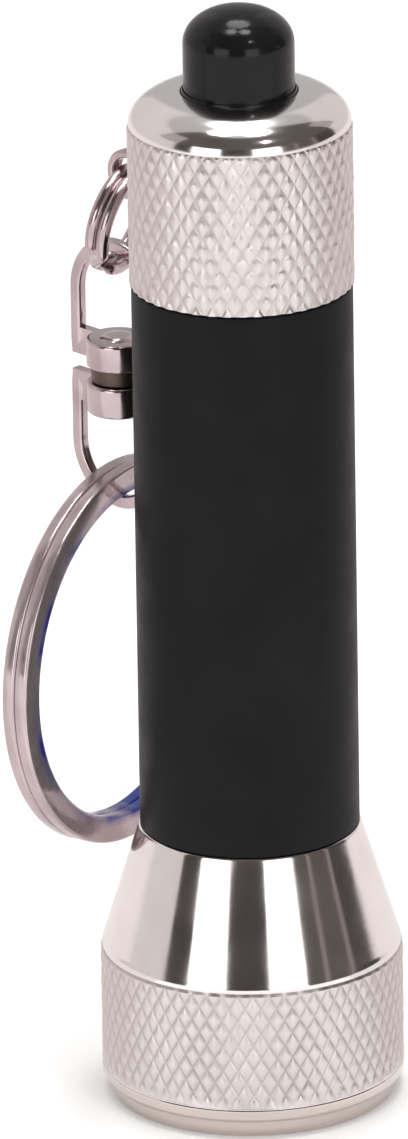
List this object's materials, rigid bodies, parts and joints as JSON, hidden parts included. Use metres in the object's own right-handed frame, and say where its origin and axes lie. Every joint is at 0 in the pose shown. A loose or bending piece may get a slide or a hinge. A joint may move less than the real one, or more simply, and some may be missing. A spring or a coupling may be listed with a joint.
{
  "type": "keychain flashlight",
  "caption": "Pocket flashlight with a knurled cone head and tail cap, black barrel, rubber tail button, and a swivel key chain with a split ring.",
  "frame": {"origin": "centre of the head's flat rim, which the flashlight stands on", "axes": "+Z along the flashlight's axis from the lens to the push button, -X towards the side that the key chain hangs on, +Y completing a right-handed frame"},
  "size_m": [0.0257, 0.0258, 0.0754],
  "materials": {
    "bare_aluminium": "polished, lightly warm, with a diamond knurl",
    "black_anodised": "satin black anodised",
    "clear_lens": "clear polished plastic",
    "reflector_metal": "vacuum metallised mirror",
    "black_rubber": "moulded rubber with a slight gloss",
    "black_plastic": "moulded plastic",
    "white_plastic": "moulded plastic",
    "lamp_epoxy": "clear epoxy",
    "tinned_steel": "tinned wire",
    "circuit_board": "green solder mask",
    "ferrite": "ferrite",
    "chip_plastic": "moulded epoxy",
    "capacitor_ceramic": "ceramic",
    "brass": "plain brass",
    "battery_steel": "nickel plated steel",
    "battery_wrap": "printed film without any mark",
    "spring_steel": "drawn wire",
    "nickel_plate": "bright nickel plate, slightly warm"
  },
  "bodies": {
    "head": {"head_shell": "bare_aluminium", "lens_retaining_ring": "bare_aluminium", "front_lens": "clear_lens", "lens_gasket": "black_rubber", "reflector": "reflector_metal", "led_holder": "black_plastic", "led_emitter": "lamp_epoxy", "led_leads": "tinned_steel", "driver_board": "circuit_board", "boost_inductor": "ferrite", "boost_chip": "chip_plastic", "smoothing_capacitor": "capacitor_ceramic", "front_contact": "brass"},
    "battery": {"battery_cell": "battery_steel", "battery_terminal": "battery_steel", "battery_jacket": "battery_wrap"},
    "barrel": {"barrel_tube": "black_anodised", "front_o_ring": "black_rubber", "rear_o_ring": "black_rubber"},
    "spring": {"tail_spring": "spring_steel"},
    "cap": {"tail_cap": "bare_aluminium", "key_lug": "nickel_plate", "boot_collar": "black_rubber", "switch_housing": "black_plastic", "switch_contact": "brass", "switch_retaining_ring": "brass", "plunger_spring": "spring_steel"},
    "button": {"button_boot": "black_rubber", "switch_plunger": "white_plastic"},
    "small_ring": {"small_split_ring": "nickel_plate"},
    "upper_link": {"upper_yoke": "nickel_plate", "swivel_rivet": "nickel_plate", "swivel_washer": "nickel_plate"},
    "lower_link": {"lower_yoke": "nickel_plate"},
    "key_ring": {"key_split_ring": "nickel_plate"}
  },
  "joints": [
    {"name": "barrel_rise", "type": "slide", "parent": "head", "child": "battery", "axis": [0, 0, 1], "range_m": [0, 0.00225]},
    {"name": "barrel_turn", "type": "hinge", "parent": "battery", "child": "barrel", "pos_m": [0, 0, 0.0188], "axis": [0, 0, 1], "range_deg": [0, 1080]},
    {"name": "cap_rise", "type": "slide", "parent": "barrel", "child": "spring", "axis": [0, 0, 1], "range_m": [0, 0.00225]},
    {"name": "cap_turn", "type": "hinge", "parent": "spring", "child": "cap", "pos_m": [0, 0, 0.0564], "axis": [0, 0, 1], "range_deg": [0, 1080]},
    {"name": "button_press", "type": "slide", "parent": "cap", "child": "button", "axis": [0, 0, -1], "range_m": [0, 0.0012], "stiffness_N_per_m": 2500, "springref_m": -0.0006, "deforming": ["plunger_spring"]},
    {"name": "small_ring_swing", "type": "hinge", "parent": "cap", "child": "small_ring", "pos_m": [-0.01021, 0, 0.0615], "axis": [0, 1, 0], "range_deg": [0, 80]},
    {"name": "yoke_swing", "type": "hinge", "parent": "small_ring", "child": "upper_link", "pos_m": [-0.0116, 0, 0.05495], "axis": [0, 1, 0], "range_deg": [0, 35]},
    {"name": "swivel_turn", "type": "hinge", "parent": "upper_link", "child": "lower_link", "pos_m": [-0.0116, 0, 0.0468], "axis": [0, 0, 1], "range_deg": [-45, 25]},
    {"name": "key_ring_swing", "type": "hinge", "parent": "lower_link", "child": "key_ring", "pos_m": [-0.0116, 0, 0.04004], "axis": [0, 1, 0], "range_deg": [0, 90]}
  ],
  "couplings": [
    {"joint": "barrel_turn", "follows": "barrel_rise", "rad_per_m": 8377.6},
    {"joint": "cap_turn", "follows": "cap_rise", "rad_per_m": 8377.6}
  ]
}
